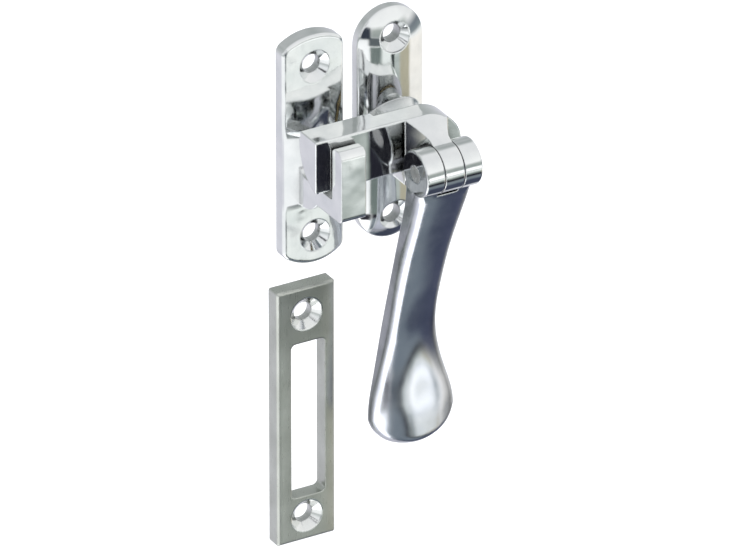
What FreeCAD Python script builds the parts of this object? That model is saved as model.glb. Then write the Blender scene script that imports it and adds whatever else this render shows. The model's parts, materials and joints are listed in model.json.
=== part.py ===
import FreeCAD, Part
import math
import os

import Sketcher

# Casement window fastener with a hinged handle, a hook plate and a spare mortice plate.
# Millimetres. +Z is up the window stile, -Y points into the room, and the plane Y = 0 is the
# face of the window that the plates are screwed to. The origin is where the spindle's axis
# meets that plane. "Depth" below is the distance in front of it, so depth = -Y.

DIMENSIONS = {
    # how far a cut runs past the metal, and a trimmed end past the plate
    "cut_margin": 1.0,
    "trim_margin": 4.0,
    # backplate
    "plate_width": 17.0,
    "plate_length": 58.0,
    "plate_edge": 2.2,
    "plate_crown": 5.2,
    "plate_rim_round": 0.7,
    "sash_hole_pitch": 45.5,
    "hole_bore": 4.4,
    "sink_rim": 8.0,
    "sink_depth": 1.8,
    "sash_sink_face": 4.7,
    # round boss that carries the spindle
    "boss_dia": 13.4,
    "boss_face": 12.6,
    "boss_rim_round": 0.6,
    "boss_foot_dia": 16.4,
    "boss_foot_depth": 2.3,
    "boss_flare_depth": 8.2,
    "boss_flare_radius": 14.0,
    "spindle_bore": 6.1,
    "recess_dia": 12.0,
    "recess_depth": 3.4,
    # washers and spindle
    "friction_dia": 12.8,
    "friction_thick": 0.4,
    "friction_bore": 6.3,
    "spring_dia": 9.6,
    "spring_bore": 6.6,
    "spring_thick": 0.35,
    "spring_rise": 0.35,
    "retainer_dia": 10.6,
    "retainer_bore": 4.6,
    "retainer_back": 1.8,
    "retainer_thick": 0.8,
    "spindle_dia": 6.0,
    "spindle_tip": 16.6,
    "peen_dia": 6.4,
    "peen_depth": 0.6,
    "peen_edge": 1.2,
    # lever: hub, nose, lug and middle knuckle
    "hub_dia": 18.2,
    "lever_back": 13.1,
    "lever_front": 18.5,
    "nose_end": 28.5,
    "nose_root": 10.5,
    "nose_back": 11.3,
    "nose_bottom": 3.65,
    "nose_shoulder": 7.7,
    "nose_lip": 0.4,
    "nose_curve": 10.7,
    "lug_half_root": 5.5,
    "lug_waist_depth": 24.2,
    "lug_curve": 24.0,
    "lug_foot": 6.2,
    "lug_overlap": 0.1,
    "ear_clearance": 0.4,
    "nose_edge_round": 0.35,
    "knuckle_dia": 11.2,
    "knuckle_width": 4.8,
    "hinge_depth": 26.0,
    "hinge_drop": 0.75,
    "pin_dia": 4.0,
    "pin_clearance": 0.1,
    # handle
    "ear_span": 14.4,
    "ear_gap": 5.3,
    "slot_clearance": 0.5,
    "ear_edge_round": 0.5,
    "blade_front_round": 2.0,
    "blade_back_round": 0.35,
    "slot_floor": 7.9,
    "slot_run": 2.0,
    "tip_half_width": 11.0,
    "tip_end_drop": 76.2,
    "tip_bow_radius": 16.0,
    "tip_corner_radius": 8.0,
    # hook plate
    "hook_plate_centre_x": -20.35,
    "hook_plate_centre_z": -0.95,
    "hook_plate_width": 15.7,
    "hook_plate_length": 57.4,
    "hook_plate_thick": 4.0,
    "hook_plate_side_thick": 3.4,
    "hook_plate_end_radius": 12.4,
    "hook_plate_corner": 2.6,
    "hook_plate_rim_round": 0.9,
    "hook_hole_pitch": 42.6,
    "hook_hole_centre_z": -1.35,
    # J-shaped hook
    "hook_centre_x": -21.25,
    "hook_width": 6.3,
    "hook_back": 18.75,
    "hook_front": 23.0,
    "hook_top": 7.15,
    "hook_floor": 6.05,
    "hook_under": 10.45,
    "hook_root_radius": 10.0,
    "hook_floor_radius": 3.2,
    "hook_floor_run": 3.6,
    "hook_floor_rise": 3.0,
    "hook_toe_radius": 1.4,
    "hook_brow_run": 1.6,
    "hook_brow_radius": 2.6,
    "hook_back_bevel": 0.8,
    "hook_root_drop": 13.8,
    "hook_root_reach": 12.0,
    # mortice plate
    "mortice_centre_x": -22.7,
    "mortice_centre_z": -67.85,
    "mortice_width": 15.1,
    "mortice_length": 65.0,
    "mortice_thick": 3.8,
    "mortice_corner": 0.5,
    "mortice_bevel": 0.5,
    "mortice_hole_x": -22.6,
    "mortice_hole_z": -68.2,
    "mortice_hole_pitch": 51.9,
    "slot_width": 8.8,
    "slot_length": 39.6,
    "slot_corner": 1.2,
    "slot_centre_x": -22.2,
    "slot_centre_z": -69.15,
}

# Handle stations, from the ears down: drop below the spindle's axis, depth of the flat back of
# the blade, width across, thickness in the middle and thickness at the edges.
HANDLE_STATIONS = [
    ("neck", 4.0, 21.5, 14.3, 8.0, 7.2),
    ("shoulder", 9.0, 21.0, 13.9, 6.0, 5.2),
    ("upper_grip", 15.0, 18.9, 13.1, 5.7, 4.9),
    ("grip", 25.0, 15.4, 12.4, 5.0, 4.2),
    ("lower_grip", 36.0, 11.9, 12.0, 4.8, 4.0),
    ("waist", 47.0, 9.1, 12.5, 4.9, 4.0),
    ("bulb_root", 54.5, 8.8, 14.8, 4.9, 3.6),
    ("bulb_top", 60.5, 9.5, 18.0, 4.9, 3.0),
    ("bulb", 67.0, 10.6, 21.3, 4.8, 2.3),
    ("tip", 79.0, 11.6, 22.6, 4.4, 2.0),
]
STATION_FIELDS = ("drop", "back", "width", "middle", "edge")

# Tests that pick out edges: coincident within this, longer than this, further out than the
# core of the blade, and in front of or behind this distance from the blade's flat back.
TOUCH = 0.001
LONG_EDGE = 4.0
BLADE_CORE = 3.0
EDGE_BAND = 1.0

# A cut that takes away less than this many cubic millimetres points the wrong way.
SMALLEST_CUT = 0.01

doc = FreeCAD.newDocument("casement_fastener")
sheet = doc.addObject("Spreadsheet::Sheet", "dims")


def fill_sheet():
    """Write every driving dimension into the sheet as a plain number with an alias."""
    cells = dict(DIMENSIONS)
    for station, *values in HANDLE_STATIONS:
        for field, value in zip(STATION_FIELDS, values):
            cells[f"{station}_{field}"] = value
    for row, (alias, value) in enumerate(cells.items(), start=1):
        sheet.set(f"A{row}", alias)
        sheet.set(f"B{row}", str(value))
        sheet.setAlias(f"B{row}", alias)
    doc.recompute()


def new_body(label):
    body = doc.addObject("PartDesign::Body", label)
    body.Label = label
    return body


def plane_of(body, role):
    return next(item for item in body.Origin.OriginFeatures if item.Role == role)


def new_sketch(body, name, role, shift=None):
    """Sketch on one of the body's own origin planes; shift binds its offset, axis by axis."""
    sketch = body.newObject("Sketcher::SketchObject", f"{body.Label}_{name}")
    sketch.AttachmentSupport = [(plane_of(body, role), "")]
    sketch.MapMode = "FlatFace"
    for axis, expression in (shift or {}).items():
        sketch.setExpression(f"AttachmentOffset.Base.{axis}", expression)
    return sketch


def number(sketch, expression):
    value = sketch.evalExpression(expression)
    return float(getattr(value, "Value", value))


def bind(sketch, constraint, expression):
    index = sketch.addConstraint(constraint)
    sketch.setExpression(f"Constraints[{index}]", expression)


def place_point(sketch, geometry, point, across, up):
    """Tie a point to two expressions, measured from the sketch's origin."""
    bind(sketch, Sketcher.Constraint("DistanceX", -1, 1, geometry, point, number(sketch, across)), across)
    bind(sketch, Sketcher.Constraint("DistanceY", -1, 1, geometry, point, number(sketch, up)), up)


def add_outline(sketch, corners):
    """Closed outline. A corner is (across, up) or (across, up, radius, turn): the second form
    starts an arc of that radius to the next corner, turning "left" or "right" on the way."""
    count = len(corners)
    spots = [FreeCAD.Vector(number(sketch, c[0]), number(sketch, c[1]), 0) for c in corners]
    starts = []
    ends = []
    for index, corner in enumerate(corners):
        here = spots[index]
        there = spots[(index + 1) % count]
        if len(corner) == 2:
            geometry = sketch.addGeometry(Part.LineSegment(here, there), False)
            starts.append((geometry, 1))
            ends.append((geometry, 2))
            continue
        radius = number(sketch, corner[2])
        left = corner[3] == "left"
        chord = there - here
        side = FreeCAD.Vector(-chord.y, chord.x, 0).normalize()
        rise = math.sqrt(radius ** 2 - (chord.Length / 2) ** 2)
        centre = (here + there) * 0.5 + side * (rise if left else -rise)
        first, last = (here, there) if left else (there, here)
        angles = [math.atan2(spot.y - centre.y, spot.x - centre.x) for spot in (first, last)]
        circle = Part.Circle(centre, FreeCAD.Vector(0, 0, 1), radius)
        geometry = sketch.addGeometry(Part.ArcOfCircle(circle, *angles), False)
        starts.append((geometry, 1 if left else 2))
        ends.append((geometry, 2 if left else 1))
        bind(sketch, Sketcher.Constraint("Radius", geometry, radius), corner[2])
    for index, corner in enumerate(corners):
        sketch.addConstraint(Sketcher.Constraint("Coincident", *ends[index - 1], *starts[index]))
        place_point(sketch, *starts[index], corner[0], corner[1])


def add_circle(sketch, diameter, across="0", up="0"):
    centre = FreeCAD.Vector(number(sketch, across), number(sketch, up), 0)
    radius = number(sketch, diameter) / 2
    geometry = sketch.addGeometry(Part.Circle(centre, FreeCAD.Vector(0, 0, 1), radius), False)
    place_point(sketch, geometry, 3, across, up)
    bind(sketch, Sketcher.Constraint("Diameter", geometry, radius * 2), diameter)


def add_feature(body, kind, name, sketch):
    feature = body.newObject(f"PartDesign::{kind}", f"{body.Label}_{name}")
    feature.Profile = sketch
    return feature


def add_pad(body, name, sketch, length, centred=False):
    feature = add_feature(body, "Pad", name, sketch)
    feature.Midplane = centred
    feature.setExpression("Length", length)
    doc.recompute()
    return feature


def add_pocket(body, name, sketch, length, centred=False, backwards=False):
    """Cut the sketch out and make sure that it really removed metal."""
    before = body.Shape.Volume
    feature = add_feature(body, "Pocket", name, sketch)
    feature.Midplane = centred
    feature.Reversed = backwards
    feature.setExpression("Length", length)
    doc.recompute()
    check_removed(feature, before)
    return feature


def add_turned(body, kind, name, sketch, axis):
    before = body.Shape.Volume if body.Tip else 0.0
    feature = add_feature(body, kind, name, sketch)
    feature.ReferenceAxis = (sketch, [axis])
    feature.Angle = 360
    doc.recompute()
    if kind == "Groove":
        check_removed(feature, before)
    return feature


def check_removed(feature, before):
    if feature.Shape.Volume > before - SMALLEST_CUT:
        raise RuntimeError(f"{feature.Name} removed nothing")


def add_mirror(body, name, feature, role="XY_Plane"):
    mirror = body.newObject("PartDesign::Mirrored", f"{body.Label}_{name}")
    mirror.Originals = [feature]
    mirror.MirrorPlane = (plane_of(body, role), [""])
    body.Tip = mirror
    doc.recompute()
    return mirror


def edge_names(shape, wanted):
    """Names of the edges whose middle point passes the test."""
    names = []
    for index, edge in enumerate(shape.Edges, start=1):
        middle = edge.valueAt((edge.FirstParameter + edge.LastParameter) / 2)
        if wanted(edge, middle):
            names.append(f"Edge{index}")
    return names


def add_dressing(body, kind, name, base, size, wanted):
    """Fillet or chamfer on the edges of the base feature that pass the test."""
    names = edge_names(base.Shape, wanted)
    if not names:
        raise RuntimeError(f"{name}: no edge found")
    feature = body.newObject(f"PartDesign::{kind}", f"{body.Label}_{name}")
    feature.Base = (base, names)
    feature.setExpression("Radius" if kind == "Fillet" else "Size", size)
    doc.recompute()
    return feature


def countersink_outline(sketch, face):
    """Half section of a countersunk screw hole about the sketch's horizontal axis."""
    add_outline(sketch, [
        ("dims.cut_margin", "0"),
        ("dims.cut_margin", "dims.hole_bore / 2"),
        (f"-({face} - dims.sink_depth)", "dims.hole_bore / 2"),
        (f"-{face}", "dims.sink_rim / 2"),
        (f"-({face} + 2 * dims.cut_margin)", "dims.sink_rim / 2"),
        (f"-({face} + 2 * dims.cut_margin)", "0"),
    ])


def add_screw_hole(body, name, face, centre_x, centre_z):
    sketch = new_sketch(body, f"{name}_section", "YZ_Plane", {"y": centre_z, "z": centre_x})
    countersink_outline(sketch, face)
    return add_turned(body, "Groove", name, sketch, "H_Axis")


def annulus(label, outer, inner, back, thick):
    """Flat washer about the spindle's axis, from one depth forwards."""
    body = new_body(label)
    sketch = new_sketch(body, "ring", "XZ_Plane", {"z": back})
    add_circle(sketch, outer)
    add_circle(sketch, inner)
    add_pad(body, "disc", sketch, thick)
    return body


def bowed_end(sketch, half_width, half_length, bow, corner, sign=""):
    """Waste outside one end of a plate: a shallow arc that meets two corner arcs."""
    turn = "left" if sign else "right"
    inset = f"({half_width} - {corner})"
    rise = f"sqrt(({bow} - {corner}) ^ 2 - {inset} ^ 2)"
    bow_centre = f"({half_length} - {bow})"
    shoulder = f"{sign}({bow_centre} + {rise})"
    meet_x = f"{inset} * {bow} / ({bow} - {corner})"
    meet_z = f"{sign}({bow_centre} + {rise} * {bow} / ({bow} - {corner}))"
    add_outline(sketch, [
        (f"-({half_width} + dims.trim_margin)", shoulder),
        (f"-({half_width})", shoulder, corner, turn),
        (f"-{meet_x}", meet_z, bow, turn),
        (meet_x, meet_z, corner, turn),
        (half_width, shoulder),
        (f"{half_width} + dims.trim_margin", shoulder),
        (f"{half_width} + dims.trim_margin", f"{sign}({half_length} + dims.trim_margin)"),
        (f"-({half_width} + dims.trim_margin)", f"{sign}({half_length} + dims.trim_margin)"),
    ])


def make_backplate():
    """Round-ended plate with a domed face, a turned boss and two countersunk holes."""
    body = new_body("backplate")
    half_width = "dims.plate_width / 2"
    rise = "(dims.plate_crown - dims.plate_edge)"
    dome = f"(({half_width}) ^ 2 + {rise} ^ 2) / (2 * {rise})"
    middle = new_sketch(body, "dome_section", "XY_Plane")
    add_outline(middle, [
        (f"-{half_width}", "0"),
        (half_width, "0"),
        (half_width, "-dims.plate_edge", dome, "right"),
        (f"-{half_width}", "-dims.plate_edge"),
    ])
    add_pad(body, "middle", middle, "dims.plate_length - dims.plate_width", centred=True)
    end_shift = {"z": "(dims.plate_length - dims.plate_width) / 2"}
    end = new_sketch(body, "end_section", "XY_Plane", end_shift)
    add_outline(end, [
        ("0", "0"),
        (half_width, "0"),
        (half_width, "-dims.plate_edge", dome, "right"),
        ("0", "-dims.plate_crown"),
    ])
    top = add_turned(body, "Revolution", "top_end", end, "V_Axis")
    blank = add_mirror(body, "bottom_end", top)
    rim = -DIMENSIONS["plate_edge"]
    add_dressing(body, "Fillet", "rim", blank, "dims.plate_rim_round",
                 lambda edge, middle: abs(middle.y - rim) < TOUCH and edge.Length > LONG_EDGE)
    boss = new_sketch(body, "boss_section", "XY_Plane")
    add_outline(boss, [
        ("0", "-dims.cut_margin"),
        ("dims.boss_foot_dia / 2", "-dims.cut_margin"),
        ("dims.boss_foot_dia / 2", "-dims.boss_foot_depth", "dims.boss_flare_radius", "left"),
        ("dims.boss_dia / 2", "-dims.boss_flare_depth"),
        ("dims.boss_dia / 2", "-dims.boss_face + dims.boss_rim_round", "dims.boss_rim_round", "right"),
        ("dims.boss_dia / 2 - dims.boss_rim_round", "-dims.boss_face"),
        ("0", "-dims.boss_face"),
    ])
    add_turned(body, "Revolution", "boss", boss, "V_Axis")
    bore = new_sketch(body, "bore_section", "XY_Plane")
    add_outline(bore, [
        ("0", "dims.cut_margin"),
        ("dims.recess_dia / 2", "dims.cut_margin"),
        ("dims.recess_dia / 2", "-dims.recess_depth"),
        ("dims.spindle_bore / 2", "-dims.recess_depth"),
        ("dims.spindle_bore / 2", "-(dims.boss_face + dims.cut_margin)"),
        ("0", "-(dims.boss_face + dims.cut_margin)"),
    ])
    add_turned(body, "Groove", "bore", bore, "V_Axis")
    hole = add_screw_hole(body, "screw_hole", "dims.sash_sink_face", "0", "dims.sash_hole_pitch / 2")
    add_mirror(body, "lower_screw_hole", hole)
    return body


def make_washers():
    friction = annulus("friction_washer", "dims.friction_dia", "dims.friction_bore",
                       "dims.boss_face", "dims.friction_thick")
    retainer = annulus("retaining_washer", "dims.retainer_dia", "dims.retainer_bore",
                       "dims.retainer_back", "dims.retainer_thick")
    spring = new_body("spring_washer")
    # A shallow cone: its outer rim bears on the recess floor, its inner rim on the retainer.
    section = new_sketch(spring, "cone_section", "XY_Plane")
    add_outline(section, [
        ("dims.spring_bore / 2", "-(dims.recess_depth - dims.spring_rise - dims.spring_thick)"),
        ("dims.spring_dia / 2", "-(dims.recess_depth - dims.spring_thick)"),
        ("dims.spring_dia / 2", "-dims.recess_depth"),
        ("dims.spring_bore / 2", "-(dims.recess_depth - dims.spring_rise)"),
    ])
    add_turned(spring, "Revolution", "cone", section, "V_Axis")
    return [friction, retainer, spring]


def make_spindle():
    """Steel spindle: blind in the lever's hub, turned down for the retainer, peened over."""
    body = new_body("spindle")
    section = new_sketch(body, "section", "XY_Plane")
    shoulder = "-(dims.retainer_back + dims.retainer_thick)"
    add_outline(section, [
        ("0", "-dims.peen_depth"),
        ("dims.retainer_bore / 2", "-dims.peen_depth", "dims.peen_dia / 4", "right"),
        ("dims.peen_dia / 2", "-dims.peen_edge"),
        ("dims.peen_dia / 2", "-dims.retainer_back"),
        ("dims.retainer_bore / 2", "-dims.retainer_back"),
        ("dims.retainer_bore / 2", shoulder),
        ("dims.spindle_dia / 2", shoulder),
        ("dims.spindle_dia / 2", "-dims.spindle_tip"),
        ("0", "-dims.spindle_tip"),
    ])
    add_turned(body, "Revolution", "turned", section, "V_Axis")
    return body


def make_lever():
    """Casting with a round hub, the nose, and a lug that ends in the middle knuckle."""
    body = new_body("lever")
    hub_radius = "dims.hub_dia / 2"
    thick = "(dims.lever_front - dims.lever_back)"
    # nose, thicker than the hub, with its back rounded under so that it rides into a hook
    nose = new_sketch(body, "nose_section", "YZ_Plane", {"z": "-dims.nose_end"})
    add_outline(nose, [
        ("-dims.lever_front", "-dims.nose_bottom"),
        ("-dims.lever_front", hub_radius),
        ("-dims.nose_back", hub_radius),
        ("-dims.nose_back", "dims.nose_shoulder", "dims.nose_curve", "right"),
        ("-(dims.lever_front - dims.nose_lip)", "-dims.nose_bottom"),
    ])
    add_pad(body, "nose", nose, "dims.nose_end - dims.nose_root")
    # flat bridge between the nose and the hub
    bridge = new_sketch(body, "bridge_outline", "XZ_Plane", {"z": "dims.lever_back"})
    add_outline(bridge, [
        ("-dims.nose_root - dims.cut_margin", "-dims.nose_bottom"),
        ("0", "-dims.nose_bottom"),
        ("0", hub_radius),
        ("-dims.nose_root - dims.cut_margin", hub_radius),
    ])
    add_pad(body, "bridge", bridge, thick)
    # lug: waisted in plan, sloping down to the knuckle
    plan = new_sketch(body, "lug_plan", "XY_Plane", {"z": "-dims.lug_foot"})
    half_knuckle = "dims.knuckle_width / 2"
    add_outline(plan, [
        ("-dims.lug_half_root", "-dims.lever_front + dims.cut_margin"),
        ("-dims.lug_half_root", "-dims.lever_front", "dims.lug_curve", "right"),
        (f"-{half_knuckle}", "-dims.lug_waist_depth"),
        (f"-{half_knuckle}", "-dims.hinge_depth"),
        (half_knuckle, "-dims.hinge_depth"),
        (half_knuckle, "-dims.lug_waist_depth", "dims.lug_curve", "right"),
        ("dims.lug_half_root", "-dims.lever_front"),
        ("dims.lug_half_root", "-dims.lever_front + dims.cut_margin"),
    ])
    add_pad(body, "lug", plan, f"dims.lug_foot + {hub_radius}")
    slope = new_sketch(body, "lug_slope", "YZ_Plane")
    knuckle_top = "dims.knuckle_dia / 2 - dims.hinge_drop"
    add_outline(slope, [
        ("-dims.lever_front", hub_radius),
        ("-dims.lever_front", f"{hub_radius} + dims.cut_margin"),
        ("-dims.hinge_depth - dims.cut_margin", f"{hub_radius} + dims.cut_margin"),
        ("-dims.hinge_depth - dims.cut_margin", f"{knuckle_top} - dims.lug_overlap"),
        ("-dims.hinge_depth", f"{knuckle_top} - dims.lug_overlap"),
    ])
    add_pocket(body, "lug_top", slope, "dims.ear_span", centred=True)
    # the lug's free side follows the round of the hub
    rounding = new_sketch(body, "lug_rounding", "XZ_Plane", {"z": "dims.lever_back"})
    add_outline(rounding, [
        ("0", hub_radius, hub_radius, "right"),
        (hub_radius, "0"),
        (f"{hub_radius} + dims.cut_margin", "0"),
        (f"{hub_radius} + dims.cut_margin", f"{hub_radius} + dims.cut_margin"),
        ("0", f"{hub_radius} + dims.cut_margin"),
    ])
    add_pocket(body, "lug_round", rounding, "dims.hinge_depth", backwards=True)
    # both sides of the lug are cut back to let the handle's ears turn beside the knuckle
    reach = "(dims.knuckle_dia / 2 + dims.ear_clearance)"
    relief = new_sketch(body, "ear_relief", "YZ_Plane", {"z": half_knuckle})
    add_outline(relief, [
        (f"-dims.hinge_depth + {reach}", "-dims.lug_foot - dims.cut_margin"),
        (f"-dims.hinge_depth + {reach}", "-dims.hinge_drop", reach, "left"),
        ("-dims.hinge_depth", f"{reach} - dims.hinge_drop"),
        (f"-dims.hinge_depth - {reach}", f"{reach} - dims.hinge_drop"),
        (f"-dims.hinge_depth - {reach}", "-dims.lug_foot - dims.cut_margin"),
    ])
    side = add_pocket(body, "ear_relief_cut", relief, "dims.ear_span", backwards=True)
    add_mirror(body, "far_ear_relief", side, "YZ_Plane")
    knuckle = new_sketch(body, "knuckle_outline", "YZ_Plane")
    add_circle(knuckle, "dims.knuckle_dia", "-dims.hinge_depth", "-dims.hinge_drop")
    add_pad(body, "knuckle", knuckle, "dims.knuckle_width", centred=True)
    hub = new_sketch(body, "hub_outline", "XZ_Plane", {"z": "dims.lever_back"})
    add_circle(hub, "dims.hub_dia")
    add_pad(body, "hub", hub, thick)
    # below the nose the hub is cut back flush with the lug's side
    crescent = new_sketch(body, "hub_relief", "XZ_Plane", {"z": "dims.lever_back - dims.cut_margin"})
    add_outline(crescent, [
        (f"-{hub_radius} - dims.cut_margin", f"-{hub_radius} - dims.cut_margin"),
        ("-dims.lug_half_root", f"-{hub_radius} - dims.cut_margin"),
        ("-dims.lug_half_root", "-dims.nose_bottom"),
        (f"-{hub_radius} - dims.cut_margin", "-dims.nose_bottom"),
    ])
    disc = add_pocket(body, "hub_relief_cut", crescent, f"{thick} + 2 * dims.cut_margin",
                      backwards=True)
    inner_end = -DIMENSIONS["nose_root"] - TOUCH
    upper_half = DIMENSIONS["hub_dia"] / 8
    add_dressing(body, "Fillet", "nose_edges", disc, "dims.nose_edge_round",
                 lambda edge, middle: middle.x < inner_end and middle.z > upper_half)
    socket = new_sketch(body, "spindle_socket", "XZ_Plane", {"z": "dims.lever_back - dims.cut_margin"})
    add_circle(socket, "dims.spindle_dia")
    socket_depth = "dims.spindle_tip - dims.lever_back + dims.cut_margin"
    add_pocket(body, "socket", socket, socket_depth, backwards=True)
    pin_hole = new_sketch(body, "pin_hole_outline", "YZ_Plane")
    bore = "dims.pin_dia + dims.pin_clearance"
    add_circle(pin_hole, bore, "-dims.hinge_depth", "-dims.hinge_drop")
    add_pocket(body, "pin_hole", pin_hole, "dims.ear_span", centred=True)
    return body


def station_outline(sketch, station):
    """Blade section: flat back, bowed front, square edges."""
    half_width = f"dims.{station}_width / 2"
    back = f"-dims.{station}_back"
    edge = f"{back} - dims.{station}_edge"
    rise = f"(dims.{station}_middle - dims.{station}_edge)"
    bow = f"(({half_width}) ^ 2 + {rise} ^ 2) / (2 * {rise})"
    add_outline(sketch, [
        (f"-{half_width}", back),
        (half_width, back),
        (half_width, edge, bow, "right"),
        (f"-{half_width}", edge),
    ])


def make_handle():
    """Spoon-shaped handle with two ears that straddle the lever's knuckle."""
    body = new_body("handle")
    sections = []
    for station, *_ in HANDLE_STATIONS:
        sketch = new_sketch(body, station, "XY_Plane", {"z": f"-dims.{station}_drop"})
        station_outline(sketch, station)
        sections.append(sketch)
    doc.recompute()
    blade = body.newObject("PartDesign::AdditiveLoft", "handle_blade")
    blade.Profile = sections[0]
    blade.Sections = sections[1:]
    blade.Ruled = False
    doc.recompute()
    # round off the lower end of the blade
    tip = new_sketch(body, "tip_outline", "XZ_Plane", {"z": "-dims.cut_margin"})
    bowed_end(tip, "dims.tip_half_width", "dims.tip_end_drop", "dims.tip_bow_radius",
              "dims.tip_corner_radius", "-")
    rounded = add_pocket(body, "tip_cut", tip, "dims.hinge_depth", backwards=True)
    softened = add_dressing(body, "Fillet", "front_edges", rounded, "dims.blade_front_round",
                            is_front_edge)
    add_dressing(body, "Fillet", "back_edges", softened, "dims.blade_back_round", is_back_edge)
    barrel = new_sketch(body, "barrel_outline", "YZ_Plane")
    add_circle(barrel, "dims.knuckle_dia", "-dims.hinge_depth", "-dims.hinge_drop")
    round_bar = add_pad(body, "barrel", barrel, "dims.ear_span", centred=True)
    ear_face = DIMENSIONS["ear_span"] / 2
    add_dressing(body, "Fillet", "ear_edges", round_bar, "dims.ear_edge_round",
                 lambda edge, middle: abs(abs(middle.x) - ear_face) < TOUCH)
    slot = new_sketch(body, "knuckle_slot", "YZ_Plane")
    reach = "dims.knuckle_dia / 2 + dims.slot_clearance"
    add_outline(slot, [
        ("-dims.lever_front", f"{reach} - dims.hinge_drop"),
        ("-dims.lever_front", "-dims.slot_floor"),
        ("-dims.hinge_depth + dims.slot_run", "-dims.slot_floor"),
        ("-dims.hinge_depth", f"-({reach}) - dims.hinge_drop", reach, "right"),
        (f"-dims.hinge_depth - ({reach})", "-dims.hinge_drop", reach, "right"),
        ("-dims.hinge_depth", f"{reach} - dims.hinge_drop"),
    ])
    add_pocket(body, "slot", slot, "dims.ear_gap", centred=True)
    pin_hole = new_sketch(body, "pin_hole_outline", "YZ_Plane")
    add_circle(pin_hole, "dims.pin_dia", "-dims.hinge_depth", "-dims.hinge_drop")
    add_pocket(body, "pin_hole", pin_hole, "dims.ear_span + 2 * dims.cut_margin", centred=True)
    return body


def back_depth(drop):
    """Depth of the blade's flat back at a drop below the spindle, between its stations."""
    drops = [station[1] for station in HANDLE_STATIONS]
    backs = [station[2] for station in HANDLE_STATIONS]
    for index in range(1, len(drops)):
        if drop <= drops[index]:
            share = (drop - drops[index - 1]) / (drops[index] - drops[index - 1])
            return backs[index - 1] + share * (backs[index] - backs[index - 1])
    return backs[-1]


def is_rim_edge(edge, middle):
    """Edges that run down the blade's sides or round its tip, not across its top."""
    return edge.BoundBox.ZLength > LONG_EDGE and abs(middle.x) > BLADE_CORE


def is_front_edge(edge, middle):
    return is_rim_edge(edge, middle) and -middle.y > back_depth(-middle.z) + EDGE_BAND


def is_back_edge(edge, middle):
    return is_rim_edge(edge, middle) and -middle.y < back_depth(-middle.z) + EDGE_BAND


def make_hinge_pin():
    body = new_body("hinge_pin")
    outline = new_sketch(body, "outline", "YZ_Plane")
    add_circle(outline, "dims.pin_dia", "-dims.hinge_depth", "-dims.hinge_drop")
    add_pad(body, "pin", outline, "dims.ear_span", centred=True)
    return body


def make_hook_plate():
    """Plate with bowed ends, a slightly domed face and the J-shaped hook cast on it."""
    body = new_body("hook_plate")
    half_width = "dims.hook_plate_width / 2"
    half_length = "dims.hook_plate_length / 2"
    centre_x = "dims.hook_plate_centre_x"
    centre_z = "dims.hook_plate_centre_z"
    rise = "(dims.hook_plate_thick - dims.hook_plate_side_thick)"
    bow = f"(({half_width}) ^ 2 + {rise} ^ 2) / (2 * {rise})"
    dome = new_sketch(body, "dome_section", "XY_Plane", {"x": centre_x, "z": centre_z})
    add_outline(dome, [
        (f"-{half_width}", "0"),
        (half_width, "0"),
        (half_width, "-dims.hook_plate_side_thick", bow, "right"),
        (f"-{half_width}", "-dims.hook_plate_side_thick"),
    ])
    add_pad(body, "blank", dome, "dims.hook_plate_length", centred=True)
    for name, sign in (("top_end", ""), ("bottom_end", "-")):
        end = new_sketch(body, f"{name}_outline", "XZ_Plane",
                         {"x": centre_x, "y": centre_z, "z": "-dims.cut_margin"})
        bowed_end(end, half_width, half_length, "dims.hook_plate_end_radius",
                  "dims.hook_plate_corner", sign)
        plate = add_pocket(body, name, end, "dims.hook_plate_thick + 2 * dims.cut_margin", backwards=True)
    front = -DIMENSIONS["hook_plate_side_thick"]
    add_dressing(body, "Fillet", "rim", plate, "dims.hook_plate_rim_round",
                 lambda edge, middle: middle.y < front + TOUCH)
    hook = new_sketch(body, "hook_profile", "YZ_Plane", {"z": "dims.hook_centre_x"})
    foot = "-dims.hook_plate_side_thick"
    bevel = "dims.hook_back_bevel"
    add_outline(hook, [
        (f"{foot} + dims.cut_margin", "-dims.hook_root_drop"),
        (foot, "-dims.hook_root_drop", "dims.hook_root_radius", "right"),
        ("-dims.hook_root_reach", "-dims.hook_under"),
        ("-dims.hook_front + dims.hook_toe_radius", "-dims.hook_under", "dims.hook_toe_radius", "right"),
        ("-dims.hook_front", "-dims.hook_under + dims.hook_toe_radius"),
        ("-dims.hook_front", "dims.hook_top - dims.hook_brow_run", "dims.hook_brow_radius", "right"),
        ("-dims.hook_front + dims.hook_brow_run", "dims.hook_top"),
        (f"-dims.hook_back - {bevel}", "dims.hook_top"),
        ("-dims.hook_back", f"dims.hook_top - {bevel}"),
        ("-dims.hook_back", f"-dims.hook_floor + {bevel}", bevel, "left"),
        (f"-dims.hook_back + {bevel}", "-dims.hook_floor"),
        (f"{foot} - dims.hook_floor_run", "-dims.hook_floor", "dims.hook_floor_radius", "left"),
        (foot, "-dims.hook_floor + dims.hook_floor_rise"),
        (f"{foot} + dims.cut_margin", "-dims.hook_floor + dims.hook_floor_rise"),
    ])
    add_pad(body, "hook", hook, "dims.hook_width", centred=True)
    for name, side in (("upper_hole", "+"), ("lower_hole", "-")):
        add_screw_hole(body, name, "dims.hook_plate_thick", centre_x,
                       f"dims.hook_hole_centre_z {side} dims.hook_hole_pitch / 2")
    return body


def rounded_slot(sketch, width, length, corner):
    """Upright rectangle with rounded corners, centred on the sketch's origin."""
    x_out = f"{width} / 2"
    y_out = f"{length} / 2"
    x_in = f"({x_out} - {corner})"
    y_in = f"({y_out} - {corner})"
    add_outline(sketch, [
        (f"-{x_in}", f"-{y_out}"),
        (x_in, f"-{y_out}", corner, "left"),
        (x_out, f"-{y_in}"),
        (x_out, y_in, corner, "left"),
        (x_in, y_out),
        (f"-{x_in}", y_out, corner, "left"),
        (f"-{x_out}", y_in),
        (f"-{x_out}", f"-{y_in}", corner, "left"),
    ])


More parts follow.
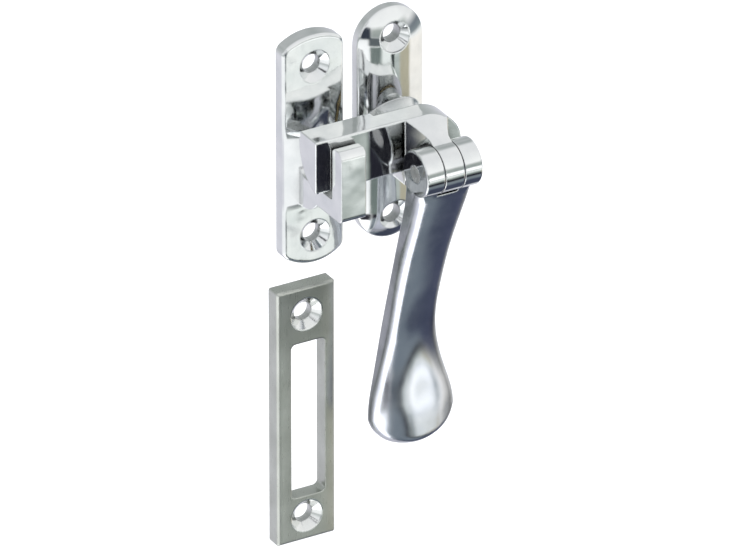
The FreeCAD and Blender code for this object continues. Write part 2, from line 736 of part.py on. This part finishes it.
def make_mortice_plate():
    """Flat keep for a timber frame: a slot for the nose between two countersunk holes."""
    body = new_body("mortice_plate")
    centre = {"x": "dims.mortice_centre_x", "y": "dims.mortice_centre_z"}
    blank = new_sketch(body, "blank_outline", "XZ_Plane", centre)
    rounded_slot(blank, "dims.mortice_width", "dims.mortice_length", "dims.mortice_corner")
    plate = add_pad(body, "blank", blank, "dims.mortice_thick")
    front = -DIMENSIONS["mortice_thick"]
    add_dressing(body, "Chamfer", "bevel", plate, "dims.mortice_bevel",
                 lambda edge, middle: abs(middle.y - front) < TOUCH)
    opening = new_sketch(body, "slot_outline", "XZ_Plane", {
        "x": "dims.slot_centre_x",
        "y": "dims.slot_centre_z",
        "z": "-dims.cut_margin",
    })
    rounded_slot(opening, "dims.slot_width", "dims.slot_length", "dims.slot_corner")
    add_pocket(body, "slot", opening, "dims.mortice_thick + 2 * dims.cut_margin", backwards=True)
    for name, side in (("upper_hole", "+"), ("lower_hole", "-")):
        add_screw_hole(body, name, "dims.mortice_thick", "dims.mortice_hole_x",
                       f"dims.mortice_hole_z {side} dims.mortice_hole_pitch / 2")
    return body


def check_and_export(parts):
    doc.recompute()
    for item in doc.Objects:
        if "Invalid" in item.State or "Error" in item.State:
            raise RuntimeError(f"{item.Name} failed: {item.State}")
    for part in parts:
        shape = part.Shape
        if shape.isNull() or not shape.isValid() or len(shape.Solids) != 1:
            raise RuntimeError(f"{part.Label}: bad shape, {len(shape.Solids)} solids")
    os.makedirs("parts", exist_ok=True)
    for part in parts:
        part.Shape.exportStep(f"parts/{part.Label}.step")
        box = part.Shape.BoundBox
        print(f"{part.Label}: {part.Shape.Volume:.1f} mm3, "
              f"X {box.XMin:.2f}..{box.XMax:.2f}, Y {box.YMin:.2f}..{box.YMax:.2f}, "
              f"Z {box.ZMin:.2f}..{box.ZMax:.2f}")


fill_sheet()
all_parts = [make_backplate()]
all_parts += make_washers()
all_parts += [
    make_spindle(),
    make_lever(),
    make_handle(),
    make_hinge_pin(),
    make_hook_plate(),
    make_mortice_plate(),
]
check_and_export(all_parts)
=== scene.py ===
"""Looks of the casement fastener: chrome materials, studio surroundings and the camera.

Lengths are in metres, in the frame's own axes: X across, -Y towards the room, Z up. Colours
are linear light.
"""

import json
import math

import bpy
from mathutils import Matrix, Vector


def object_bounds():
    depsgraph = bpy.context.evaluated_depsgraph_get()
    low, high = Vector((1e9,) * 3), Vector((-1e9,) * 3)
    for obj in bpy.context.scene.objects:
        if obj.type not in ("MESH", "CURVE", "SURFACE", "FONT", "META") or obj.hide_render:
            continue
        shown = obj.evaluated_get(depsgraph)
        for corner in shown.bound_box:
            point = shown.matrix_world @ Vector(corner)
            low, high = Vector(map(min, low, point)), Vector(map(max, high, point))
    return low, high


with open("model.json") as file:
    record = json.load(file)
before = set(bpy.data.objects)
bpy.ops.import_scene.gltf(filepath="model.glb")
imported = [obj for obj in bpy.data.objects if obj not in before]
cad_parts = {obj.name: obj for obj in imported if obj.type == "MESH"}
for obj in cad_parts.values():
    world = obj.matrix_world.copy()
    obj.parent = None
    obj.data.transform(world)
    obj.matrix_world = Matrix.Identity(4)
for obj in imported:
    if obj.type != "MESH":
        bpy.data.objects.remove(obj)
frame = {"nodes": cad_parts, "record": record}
cad_low, cad_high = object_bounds()
nodes = frame["nodes"]

MM = 0.001
MICRON = 0.000001
X, Y, Z = 0, 1, 2


# ---------------------------------------------------------------- node helpers

def grey(value):
    return (value, value, value)


class Tree:
    """Shader nodes of one material or world, with short ways to add and join them."""

    # sockets of the Mix node, by what it mixes: first input, second input and output
    MIX_SOCKETS = {"RGBA": (6, 7, 2), "VECTOR": (4, 5, 1)}

    def __init__(self, owner):
        owner.use_nodes = True
        self.tree = owner.node_tree
        self.tree.nodes.clear()

    def add(self, kind, **settings):
        node = self.tree.nodes.new(kind)
        for name, value in settings.items():
            setattr(node, name, value)
        return node

    def join(self, source, target):
        self.tree.links.new(source, target)

    def feed(self, value, target):
        """Give a socket a number, a colour or another node's output."""
        if isinstance(value, (int, float)):
            target.default_value = value
        elif isinstance(value, tuple):
            target.default_value = (*value, 1.0)
        else:
            self.join(value, target)

    def math(self, operation, *values):
        node = self.add("ShaderNodeMath", operation=operation)
        for value, socket in zip(values, node.inputs):
            self.feed(value, socket)
        return node.outputs[0]

    def times(self, first, *factors):
        """Product of two or more values."""
        for factor in factors:
            first = self.math("MULTIPLY", first, factor)
        return first

    def away(self, across, along):
        """Distance from the place where both values are zero."""
        squares = self.math("ADD", self.times(across, across), self.times(along, along))
        return self.math("SQRT", squares)

    def ramp(self, value, stops, interpolation="LINEAR"):
        """Colour for a value from 0 to 1."""
        node = self.add("ShaderNodeValToRGB")
        node.color_ramp.interpolation = interpolation
        elements = node.color_ramp.elements
        while len(elements) < len(stops):
            elements.new(0.5)
        for element, (place, colour) in zip(elements, stops):
            element.position = place
            element.color = (*colour, 1.0)
        self.join(value, node.inputs["Fac"])
        return node.outputs["Color"]

    def curve(self, value, stops, interpolation="LINEAR"):
        """Number for a value from 0 to 1."""
        greys = [(place, grey(level)) for place, level in stops]
        return self.ramp(value, greys, interpolation)

    def band(self, value, start, full, fade, end):
        """Mask that rises from start to full and falls from fade to end."""
        return self.curve(value, [(start, 0.0), (full, 1.0), (fade, 1.0), (end, 0.0)], "EASE")

    def mix(self, mask, first, second, data_type="RGBA", blend_type="MIX"):
        """First where the mask is 0, second where it is 1."""
        node = self.add("ShaderNodeMix", data_type=data_type, blend_type=blend_type)
        first_socket, second_socket, output = self.MIX_SOCKETS[data_type]
        self.feed(mask, node.inputs["Factor"])
        self.feed(first, node.inputs[first_socket])
        self.feed(second, node.inputs[second_socket])
        return node.outputs[output]


def position(tree, scale=(1.0, 1.0, 1.0)):
    """Place on the object, in metres, stretched by scale."""
    place = tree.add("ShaderNodeTexCoord")
    mapping = tree.add("ShaderNodeMapping")
    mapping.inputs["Scale"].default_value = scale
    tree.join(place.outputs["Object"], mapping.inputs["Vector"])
    return mapping.outputs["Vector"]


def place_on(tree, axis):
    """One coordinate of the place on the object, in metres."""
    split = tree.add("ShaderNodeSeparateXYZ")
    tree.join(position(tree), split.inputs[0])
    return split.outputs[axis]


def scaled(tree, value, low, high):
    """Value from low to high metres, as 0 to 1."""
    node = tree.add("ShaderNodeMapRange")
    node.inputs["From Min"].default_value = low
    node.inputs["From Max"].default_value = high
    tree.join(value, node.inputs["Value"])
    return node.outputs["Result"]


def noise(tree, vector, scale, detail=2.0, roughness=0.5):
    node = tree.add("ShaderNodeTexNoise")
    node.inputs["Scale"].default_value = scale
    node.inputs["Detail"].default_value = detail
    node.inputs["Roughness"].default_value = roughness
    tree.join(vector, node.inputs["Vector"])
    return node.outputs["Fac"]


def bump(tree, height, distance, strength=1.0, base=None):
    """Normal over small heights, on top of the base normal."""
    node = tree.add("ShaderNodeBump")
    node.inputs["Distance"].default_value = distance
    node.inputs["Strength"].default_value = strength
    tree.join(height, node.inputs["Height"])
    if base is not None:
        tree.join(base, node.inputs["Normal"])
    return node.outputs["Normal"]


def soft_edges(tree, radius):
    """Normal that is rounded over every edge, as polishing leaves a casting."""
    node = tree.add("ShaderNodeBevel", samples=6)
    node.inputs["Radius"].default_value = radius
    return node.outputs["Normal"]


def tilted(tree, normal, across=None, inward=None, up=None):
    """Lean a normal along X, Y or Z by an amount that varies over the surface."""
    lean = tree.add("ShaderNodeCombineXYZ")
    for amount, socket in zip((across, inward, up), lean.inputs):
        if amount is not None:
            tree.join(amount, socket)
    total = tree.add("ShaderNodeVectorMath", operation="ADD")
    tree.join(normal, total.inputs[0])
    tree.join(lean.outputs[0], total.inputs[1])
    unit = tree.add("ShaderNodeVectorMath", operation="NORMALIZE")
    tree.join(total.outputs[0], unit.inputs[0])
    return unit.outputs[0]


def cushion(tree, axis, start, end, base, stops):
    """Upward lean that changes along one axis: the base, less what the stops take off."""
    along = scaled(tree, place_on(tree, axis), start, end)
    return tree.math("SUBTRACT", base, tree.curve(along, stops, "EASE"))


def rounded_off(tree, side, amount):
    """Sideways lean of a flat that was rubbed round towards its edges, where side is 1."""
    return tree.times(side, side, side, amount)


def facing_sideways(tree, start, full):
    """Mask of the faces that look along X."""
    facing = tree.add("ShaderNodeSeparateXYZ")
    tree.join(tree.add("ShaderNodeTexCoord").outputs["Normal"], facing.inputs[0])
    return tree.curve(tree.math("ABSOLUTE", facing.outputs[X]), [(start, 0.0), (full, 1.0)])


def add_painted_shade(tree, tint):
    """Painted shade: darken a colour by ambient occlusion in bores and inner corners."""
    reach = 11 * MM
    node = tree.add("ShaderNodeAmbientOcclusion", samples=8)
    node.inputs["Distance"].default_value = reach
    shade = tree.curve(node.outputs["AO"], [(0.0, 0.06), (0.3, 0.35), (0.68, 1.0)])
    return tree.mix(1.0, tint, shade, blend_type="MULTIPLY")


# ------------------------------------------------------------------- materials

def metal(name):
    """Material with a metallic shader, and the tree that feeds it."""
    material = bpy.data.materials.new(name)
    tree = Tree(material)
    shader = tree.add("ShaderNodeBsdfPrincipled")
    output = tree.add("ShaderNodeOutputMaterial")
    tree.join(shader.outputs[0], output.inputs["Surface"])
    shader.inputs["Metallic"].default_value = 1.0
    return material, tree, shader


def coat(tree, shader, tint, rough, normal):
    tree.join(tint, shader.inputs["Base Color"])
    tree.join(rough, shader.inputs["Roughness"])
    tree.join(normal, shader.inputs["Normal"])


def polish(tree, wave):
    """Colour, roughness and normal of a casting polished by hand and chrome plated."""
    place = position(tree)
    clouds = noise(tree, place, 160.0, 3.0)
    tint = tree.ramp(clouds, [(0.3, (0.78, 0.80, 0.80)), (0.7, (0.90, 0.91, 0.90))])
    wipes = noise(tree, position(tree, (1.0, 1.0, 0.25)), 900.0, 4.0, 0.65)
    rough = tree.curve(wipes, [(0.35, 0.05), (0.75, 0.13)])
    waves = noise(tree, place, 120.0, 1.5, 0.4)
    ripple = bump(tree, waves, wave, 1.0, soft_edges(tree, 0.5 * MM))
    pits = bump(tree, noise(tree, place, 2600.0, 2.0), 4 * MICRON, 0.5, ripple)
    # the colour carries painted shade in bores and inner corners
    return add_painted_shade(tree, tint), rough, pits


def polished_chrome(name, wave, shape):
    """Chrome plate over a casting, whose flats lean as the polishing wheel left them."""
    material, tree, shader = metal(name)
    tint, rough, normal = polish(tree, wave)
    coat(tree, shader, tint, rough, shape(tree, normal))
    return material


def backplate_shape(tree, normal):
    """The foot of the dome leans slightly down."""
    stops = [(0.0, 0.0), (0.55, 0.0), (1.0, 0.03)]
    return tilted(tree, normal, up=cushion(tree, Y, -13 * MM, 0.0, 0.0, stops))


def lever_shape(tree, normal):
    """Two parts of the nose lean down, with a flat between them."""
    stops = [
        (0.00, 0.13),
        (0.17, 0.13),
        (0.24, 0.02),
        (0.44, 0.00),
        (0.52, 0.13),
        (0.80, 0.13),
        (0.92, 0.00),
    ]
    return tilted(tree, normal, up=cushion(tree, X, -29 * MM, 1 * MM, 0.0, stops))


def hook_shape(tree, normal):
    """The plate leans up, its left shoulder outwards, and the hook's sides to the front."""
    stops = [(0.0, 0.035), (0.3, 0.05), (0.7, 0.0)]
    normal = tilted(tree, normal, up=cushion(tree, Y, -24 * MM, -4 * MM, 0.05, stops))
    left = scaled(tree, place_on(tree, X), -20 * MM, -23 * MM)
    height = scaled(tree, place_on(tree, Z), -16 * MM, 8 * MM)
    middle = tree.band(height, 0.0, 0.15, 0.7, 0.95)
    on_plate = scaled(tree, place_on(tree, Y), -9 * MM, -7 * MM)
    sides = facing_sideways(tree, 0.85, 0.95)
    return tilted(
        tree, normal,
        across=tree.times(left, middle, on_plate, -0.6),
        inward=tree.times(sides, -0.34),
    )


def rubbed(tree, clouds):
    """Colour, roughness and normal of chrome rubbed lengthwise, with a few scratches across."""
    tint = tree.ramp(clouds, [(0.3, (0.74, 0.77, 0.83)), (0.7, (0.85, 0.87, 0.91))])
    rough = tree.curve(clouds, [(0.3, 0.20), (0.75, 0.26)])
    grain = noise(tree, position(tree, (1.0, 1.0, 0.06)), 5200.0, 3.0, 0.6)
    brushed = bump(tree, grain, 6 * MICRON, 0.7, soft_edges(tree, 0.8 * MM))
    scratches = noise(tree, position(tree, (0.35, 1.0, 1.0)), 1500.0, 1.0)
    lines = tree.curve(scratches, [(0.495, 0.0), (0.5, 1.0), (0.505, 0.0)])
    return tint, rough, bump(tree, lines, 4 * MICRON, 0.5, brushed)


def blade_shape(tree, normal):
    """Round the blade off towards its long edges, and dish the bulb right of its middle.

    The bulb leans down all round the dish, which alone turns up enough to catch the light.
    """
    neck_half_width = 6.4 * MM
    bulb_growth = 6.1 * MM
    dish_side, dish_half_width = 0.16, 0.68
    dish_depth, dish_half_height = 68 * MM, 26 * MM
    dish_up, bulb_down = 0.05, 0.35
    height = place_on(tree, Z)
    bulb = scaled(tree, height, -50 * MM, -66 * MM)
    half_width = tree.math("ADD", tree.times(bulb, bulb_growth), neck_half_width)
    side = tree.math("DIVIDE", place_on(tree, X), half_width)
    beside = tree.math("DIVIDE", tree.math("SUBTRACT", side, dish_side), dish_half_width)
    along = tree.math("DIVIDE", tree.math("ADD", height, dish_depth), dish_half_height)
    stops = [(0.25, 0.0), (1.0, bulb_down)]
    around_dish = tree.curve(tree.away(beside, along), stops, "EASE")
    lower_end = scaled(tree, height, -36 * MM, -46 * MM)
    return tilted(
        tree, normal,
        across=rounded_off(tree, side, 0.7),
        up=tree.times(tree.math("SUBTRACT", dish_up, around_dish), lower_end),
    )


def satin_chrome():
    """Handle: polished ears over a rubbed blade, whose reflections blur into bands."""
    material, tree, shader = metal("satin_chrome")
    clouds = noise(tree, position(tree), 240.0, 3.0)
    blade_tint, blade_rough, blade_normal = rubbed(tree, clouds)
    blade_normal = blade_shape(tree, blade_normal)
    ear_tint, ear_rough, ear_normal = polish(tree, 160 * MICRON)
    ears = scaled(tree, place_on(tree, Z), -8.5 * MM, -6.0 * MM)
    front_tint = tree.mix(ears, blade_tint, ear_tint)
    rough = tree.mix(ears, blade_rough, ear_rough)
    normal = tree.mix(ears, blade_normal, ear_normal, data_type="VECTOR")
    # painted shade: the side faces are painted darker than the front, in random clouds
    painted_side_shade = tree.mix(clouds, (0.20, 0.21, 0.23), (0.50, 0.52, 0.54))
    sideways = facing_sideways(tree, 0.80, 0.97)
    coat(tree, shader, tree.mix(sideways, front_tint, painted_side_shade), rough, normal)
    return material


def satin_nickel():
    """Mortice plate: linished flat, dull and slightly warm, with bright countersinks."""
    half_width = 7.5 * MM
    sink_radius = 4.3 * MM
    mounts = frame["record"]["mounts"]
    mount = next(item for item in mounts if item["name"] == "mortice_plate_screws")
    half_pitch = mount["dims"]["spacing_y_mm"] * MM / 2
    material, tree, shader = metal("satin_nickel")
    across = tree.math("SUBTRACT", place_on(tree, X), mount["pos_m"][X])
    up = tree.math("ABSOLUTE", tree.math("SUBTRACT", place_on(tree, Z), mount["pos_m"][Z]))
    from_hole = tree.away(across, tree.math("SUBTRACT", up, half_pitch))
    sinks = tree.math("LESS_THAN", from_hole, sink_radius)
    clouds = noise(tree, position(tree), 130.0, 3.0)
    tint = tree.ramp(clouds, [(0.3, (0.55, 0.57, 0.52)), (0.7, (0.68, 0.70, 0.65))])
    tint = tree.mix(sinks, tint, (0.84, 0.85, 0.83))
    grain = noise(tree, position(tree, (1.0, 1.0, 0.05)), 4200.0, 3.0, 0.6)
    rough = tree.curve(grain, [(0.3, 0.26), (0.7, 0.36)])
    rough = tree.mix(sinks, rough, grey(0.10))
    # linishing rounds the plate off towards its long edges and leans its top end down
    normal = tilted(
        tree, bump(tree, grain, 8 * MICRON, 0.8, soft_edges(tree, 0.5 * MM)),
        across=rounded_off(tree, tree.math("DIVIDE", across, half_width), 0.30),
        up=tree.times(scaled(tree, place_on(tree, Z), -62 * MM, -36 * MM), -0.07),
    )
    # the colour carries painted shade in bores and inner corners
    coat(tree, shader, add_painted_shade(tree, tint), rough, normal)
    return material


def turned_metal(name, light, dark, rough_low, rough_high):
    """Bare turned metal of a washer, pin or spindle, with fine rings and slight stains."""
    material, tree, shader = metal(name)
    stains = noise(tree, position(tree), 600.0, 4.0, 0.6)
    tint = tree.ramp(stains, [(0.35, dark), (0.7, light)])
    rough = tree.curve(stains, [(0.3, rough_high), (0.7, rough_low)])
    rings = noise(tree, position(tree, (0.2, 1.0, 1.0)), 5000.0, 2.0)
    coat(tree, shader, tint, rough, bump(tree, rings, 6 * MICRON, 0.7))
    return material


def finish_all():
    """Give every material slot of each CAD node its finish."""
    steel = turned_metal("bright_steel", grey(0.62), grey(0.42), 0.22, 0.38)
    brass = turned_metal("rolled_brass", (0.78, 0.62, 0.34), (0.60, 0.45, 0.22), 0.25, 0.42)
    finishes = {
        "backplate": polished_chrome("backplate_chrome", 140 * MICRON, backplate_shape),
        "hook_plate": polished_chrome("hook_chrome", 260 * MICRON, hook_shape),
        "lever": polished_chrome("lever_chrome", 160 * MICRON, lever_shape),
        "handle": satin_chrome(),
        "mortice_plate": satin_nickel(),
        "hinge_pin": steel,
        "spindle": steel,
        "spring_washer": steel,
        "retaining_washer": steel,
        "friction_washer": brass,
    }
    for name, material in finishes.items():
        for slot in nodes[name].material_slots:
            slot.material = material


# ----------------------------------------------------------------- surroundings

# the tent's four sides, each from straight down (0) to straight up (1)
BEHIND = [
    (0.00, (0.62, 0.62, 0.68)),
    (0.30, (0.76, 0.76, 0.83)),
    (0.55, (0.55, 0.57, 0.59)),
    (0.70, (0.42, 0.45, 0.45)),
    (0.78, (0.50, 0.52, 0.53)),
    (0.86, (0.40, 0.43, 0.43)),
    (1.00, (0.84, 0.85, 0.87)),
]
LEFT = [
    (0.00, (1.60, 1.62, 1.66)),
    (0.14, (2.20, 2.22, 2.25)),
    (0.24, (1.10, 1.12, 1.14)),
    (0.40, (1.00, 1.02, 1.04)),
    (0.44, (0.50, 0.54, 0.54)),
    (0.60, (0.95, 0.97, 1.00)),
    (1.00, (0.84, 0.85, 0.87)),
]
FRONT = [
    (0.000, (0.17, 0.20, 0.23)),
    (0.130, (0.22, 0.26, 0.29)),
    (0.155, (0.16, 0.18, 0.20)),
    (0.170, (0.02, 0.02, 0.03)),
    (0.205, (0.02, 0.02, 0.03)),
    (0.230, (0.18, 0.21, 0.20)),
    (0.265, (0.42, 0.47, 0.45)),
    (0.295, (0.90, 0.95, 0.93)),
    (0.325, (1.00, 1.03, 1.02)),
    (0.337, (0.28, 0.31, 0.32)),
    (0.350, (1.25, 1.27, 1.27)),
    (0.420, (1.60, 1.62, 1.62)),
    (0.470, (0.34, 0.38, 0.37)),
    (0.560, (0.42, 0.46, 0.44)),
    (0.630, (1.05, 1.06, 1.06)),
    (1.000, (0.84, 0.85, 0.87)),
]
RIGHT = [
    (0.00, (0.05, 0.06, 0.09)),
    (0.16, (0.07, 0.08, 0.13)),
    (0.22, (0.40, 0.40, 0.38)),
    (0.27, (1.05, 1.02, 0.97)),
    (0.32, (0.95, 0.97, 0.97)),
    (0.36, (0.26, 0.30, 0.32)),
    (0.44, (0.20, 0.23, 0.26)),
    (0.56, (1.00, 1.00, 1.00)),
    (1.00, (0.84, 0.85, 0.87)),
]

# cards and frames that the polished faces show as stripes and patches: bearing from and to,
# height from and to, colour
CARDS = [
    (0.430, 0.500, 0.225, 0.300, (0.18, 0.22, 0.21)),
    (0.495, 0.556, 0.235, 0.300, (0.95, 1.00, 0.98)),
    (0.550, 0.574, 0.235, 0.300, (0.02, 0.03, 0.03)),
    (0.598, 0.680, 0.235, 0.300, (0.50, 0.47, 0.36)),
    (0.420, 0.520, 0.290, 0.470, (0.12, 0.14, 0.15)),
    (0.375, 0.450, 0.110, 0.235, (0.03, 0.03, 0.04)),
    (0.370, 0.450, 0.400, 0.640, (0.04, 0.05, 0.07)),
    (0.362, 0.378, 0.660, 0.840, (0.02, 0.02, 0.03)),
    (0.390, 0.402, 0.680, 0.820, (0.02, 0.02, 0.03)),
    (0.300, 0.330, 0.400, 0.900, (0.10, 0.11, 0.13)),
]


def card_mask(tree, bearing, height, card):
    """Rectangle whose edges are soft over a fifth of its size."""
    start, end, low, high = card
    edge = (end - start) / 5
    rim = (high - low) / 5
    columns = tree.band(bearing, start, start + edge, end - edge, end)
    rows = tree.band(height, low, low + rim, high - rim, high)
    return tree.times(columns, rows)


def build_world():
    """Light tent with a dim opening on the room side, so that the chrome has something to show.

    A place on it is a height and a bearing, both from 0 to 1. The bearing is 0.25 on the left
    (-X), 0.5 in front (-Y) and 0.75 on the right.
    """
    world = bpy.data.worlds.new("studio")
    bpy.context.scene.world = world
    tree = Tree(world)
    output = tree.add("ShaderNodeOutputWorld")
    background = tree.add("ShaderNodeBackground")
    tree.join(background.outputs[0], output.inputs["Surface"])
    split = tree.add("ShaderNodeSeparateXYZ")
    tree.join(tree.add("ShaderNodeTexCoord").outputs["Generated"], split.inputs[0])
    x, y, z = split.outputs
    angle = tree.math("ARCTAN2", x, tree.times(y, -1.0))
    bearing = tree.math("ADD", tree.math("DIVIDE", angle, 2 * math.pi), 0.5)
    height = tree.math("ADD", tree.times(z, 0.5), 0.5)
    around = tree.ramp(height, BEHIND)
    for side, edges in (
        (LEFT, (0.19, 0.27, 0.80, 0.88)),
        (FRONT, (0.42, 0.46, 0.80, 0.88)),
        (RIGHT, (0.62, 0.67, 0.80, 0.87)),
    ):
        around = tree.mix(tree.band(bearing, *edges), around, tree.ramp(height, side))
    for *card, colour in CARDS:
        around = tree.mix(card_mask(tree, bearing, height, card), around, colour)
    rays = tree.add("ShaderNodeLightPath")
    seen = tree.mix(rays.outputs["Is Camera Ray"], around, (0.97, 0.97, 0.98))
    tree.join(seen, background.inputs["Color"])


def build_floor():
    """Plain pale floor a little below the part. The chrome doesn't show it."""
    size = 3.0
    gap = 15 * MM
    bpy.ops.mesh.primitive_plane_add(size=size, location=(0, 0, cad_low.z - gap))
    floor = bpy.context.object
    floor.name = "floor"
    material = bpy.data.materials.new("pale_floor")
    tree = Tree(material)
    shader = tree.add("ShaderNodeBsdfDiffuse")
    output = tree.add("ShaderNodeOutputMaterial")
    shader.inputs["Color"].default_value = (0.93, 0.93, 0.94, 1.0)
    tree.join(shader.outputs[0], output.inputs["Surface"])
    floor.data.materials.append(material)
    floor.visible_glossy = False


def build_lamp():
    """Soft light from overhead and slightly behind. The chrome doesn't show it."""
    centre = (cad_low + cad_high) / 2
    place = centre + Vector((0.0, 0.1, 0.9))
    data = bpy.data.lights.new("overhead", "AREA")
    data.size = 0.9
    data.energy = 9.0
    lamp = bpy.data.objects.new("overhead", data)
    bpy.context.collection.objects.link(lamp)
    lamp.location = place
    lamp.rotation_euler = (centre - place).to_track_quat("-Z", "Y").to_euler()
    lamp.visible_glossy = False


def build_camera():
    """Long lens from the left and above, three metres away."""
    azimuth = math.radians(-30.0)
    elevation = math.radians(28.0)
    distance = 3.0
    sensor_width = 36.0
    frame_width = 168.92 * MM
    off_centre = Vector((1.6, 6.2, 2.2)) * MM
    target = (cad_low + cad_high) / 2 + off_centre
    back = Vector((
        math.sin(azimuth) * math.cos(elevation),
        -math.cos(azimuth) * math.cos(elevation),
        math.sin(elevation),
    ))
    data = bpy.data.cameras.new("camera")
    data.sensor_width = sensor_width
    data.lens = sensor_width * distance / frame_width
    data.clip_start = 0.05
    data.clip_end = 20.0
    camera = bpy.data.objects.new("camera", data)
    bpy.context.collection.objects.link(camera)
    camera.location = target + back * distance
    camera.rotation_mode = "QUATERNION"
    camera.rotation_quaternion = (-back).to_track_quat("-Z", "Y")
    bpy.context.scene.camera = camera


bpy.context.scene.view_settings.view_transform = "Standard"
finish_all()
build_world()
build_floor()
build_lamp()
build_camera()
